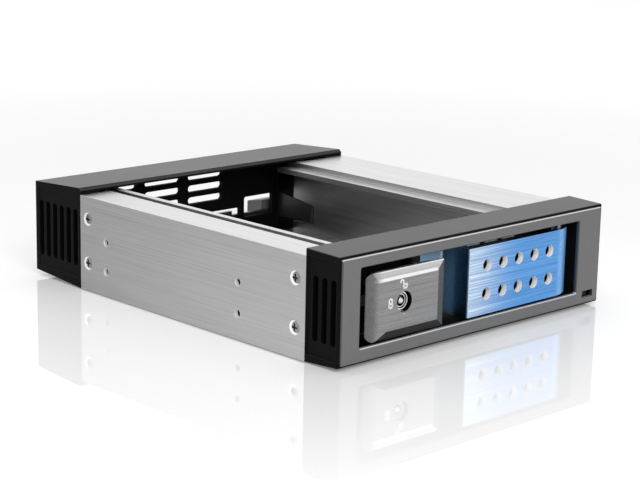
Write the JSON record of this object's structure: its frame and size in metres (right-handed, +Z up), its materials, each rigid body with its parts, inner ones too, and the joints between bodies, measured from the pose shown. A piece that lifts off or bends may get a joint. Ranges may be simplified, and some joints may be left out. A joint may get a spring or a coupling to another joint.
{
  "type": "hot swap drive cage",
  "caption": "Hot swap cage for a 3.5 inch drive in a 5.25 inch bay, with a swinging front door, a lever latch with key lock and a rear backplane.",
  "frame": {"origin": "bottom centre of the cage: middle of its width and depth, level with its underside", "axes": "+X to the right seen from the front, +Y from the front door to the backplane, +Z up"},
  "size_m": [0.146, 0.1802, 0.0413],
  "materials": {
    "rail_aluminium": "brushed",
    "black_plastic": "satin",
    "bezel_grey": "fine blasted",
    "blue_anodised": "brushed, anodised blue",
    "latch_silver": "brushed",
    "bright_steel": "plated",
    "spring_steel": "drawn wire",
    "board_black": "solder mask",
    "connector_black": "moulded",
    "connector_white": "moulded",
    "clear_plastic": "frosted light pipe",
    "lamp_plastic": "lamp body",
    "rubber_black": "moulded"
  },
  "bodies": {
    "cage": {"left_rail": "rail_aluminium", "right_rail": "rail_aluminium", "front_frame": "black_plastic", "bezel_plate": "bezel_grey", "light_pipe": "clear_plastic", "indicator_board": "board_black", "indicator_lamp": "lamp_plastic", "rear_housing": "black_plastic", "guide_arm": "connector_black", "corner_screws": "bright_steel", "door_hinge_pin": "bright_steel", "backplane_board": "board_black", "board_screws": "bright_steel", "drive_connector": "connector_black", "host_power_plug": "connector_white", "host_data_plug": "connector_black"},
    "door": {"door_handle": "blue_anodised", "door_backing": "black_plastic", "door_carrier": "black_plastic", "door_screws": "bright_steel", "drive_bumpers": "rubber_black", "lever_pin": "bright_steel", "lever_spring": "spring_steel"},
    "latch": {"latch_lever": "latch_silver", "lock_barrel": "bright_steel", "lock_nut": "bright_steel"},
    "key_core": {"lock_plug": "bright_steel", "lock_cam": "bright_steel"},
    "bolt": {"lock_bolt": "spring_steel"}
  },
  "joints": [
    {"name": "door_swing", "type": "hinge", "parent": "cage", "child": "door", "pos_m": [0.051, -0.0851, 0.0208], "axis": [0, 0, 1], "range_deg": [0, 105]},
    {"name": "latch_lift", "type": "hinge", "parent": "door", "child": "latch", "pos_m": [-0.0536, -0.0863, 0.0208], "axis": [0, 0, -1], "range_deg": [0, 22], "stiffness_Nm_per_rad": 0.03, "springref_deg": -20.05},
    {"name": "key_turn", "type": "hinge", "parent": "latch", "child": "key_core", "pos_m": [-0.0405, -0.0889, 0.0201], "axis": [0, -1, 0], "range_deg": [0, 90]},
    {"name": "bolt_slide", "type": "slide", "parent": "latch", "child": "bolt", "axis": [-1, 0, 0], "range_m": [0, 0.0035]}
  ],
  "couplings": [
    {"joint": "key_turn", "follows": "bolt_slide", "rad_per_m": 448.79}
  ]
}
